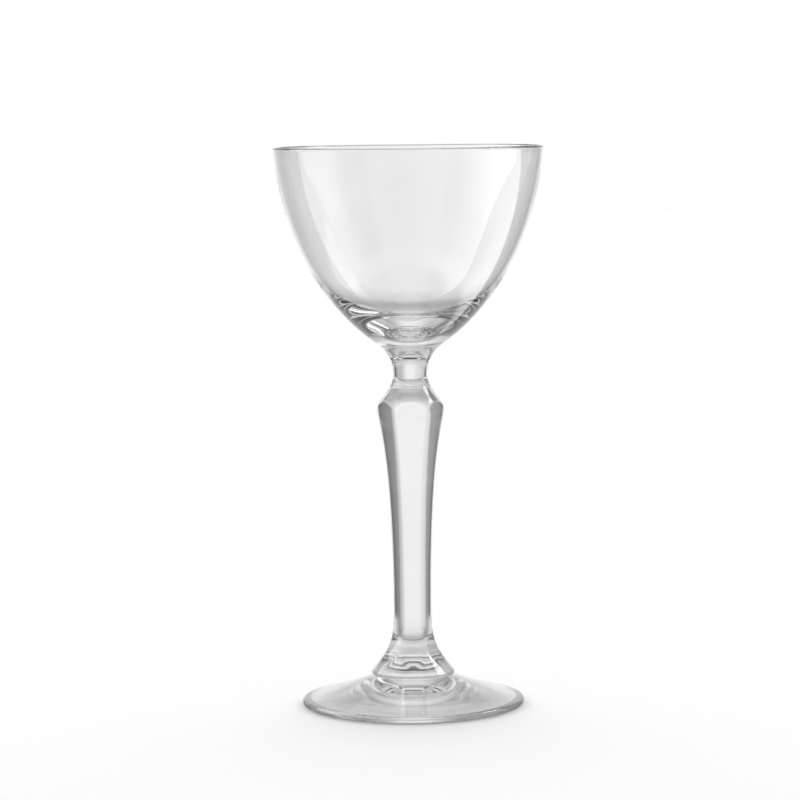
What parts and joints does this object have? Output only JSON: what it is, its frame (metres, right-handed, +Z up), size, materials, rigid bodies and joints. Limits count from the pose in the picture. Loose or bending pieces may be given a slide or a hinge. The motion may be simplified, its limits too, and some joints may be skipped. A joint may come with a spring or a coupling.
{
  "type": "nick and nora glass",
  "caption": "Clear stemmed cocktail glass: a deep egg-shaped bowl on a thick base, a faceted stem with a round neck and a flared lip, and a low round foot",
  "frame": {"origin": "Middle of the ring under the foot that the glass stands on, on the table's surface", "axes": "+Z up along the glass's own axis, which is the axis of the bowl, the stem and the foot. One facet of the stem faces -Y, and +X is to the right seen from there."},
  "size_m": [0.0768, 0.0768, 0.16],
  "materials": {
    "foot_glass": "clear, fire polished",
    "stem_glass": "clear, pressed, fire polished",
    "bowl_glass": "clear, blown, fire polished"
  },
  "bodies": {
    "root": {"foot": "foot_glass", "stem": "stem_glass", "bowl": "bowl_glass"}
  },
  "joints": []
}
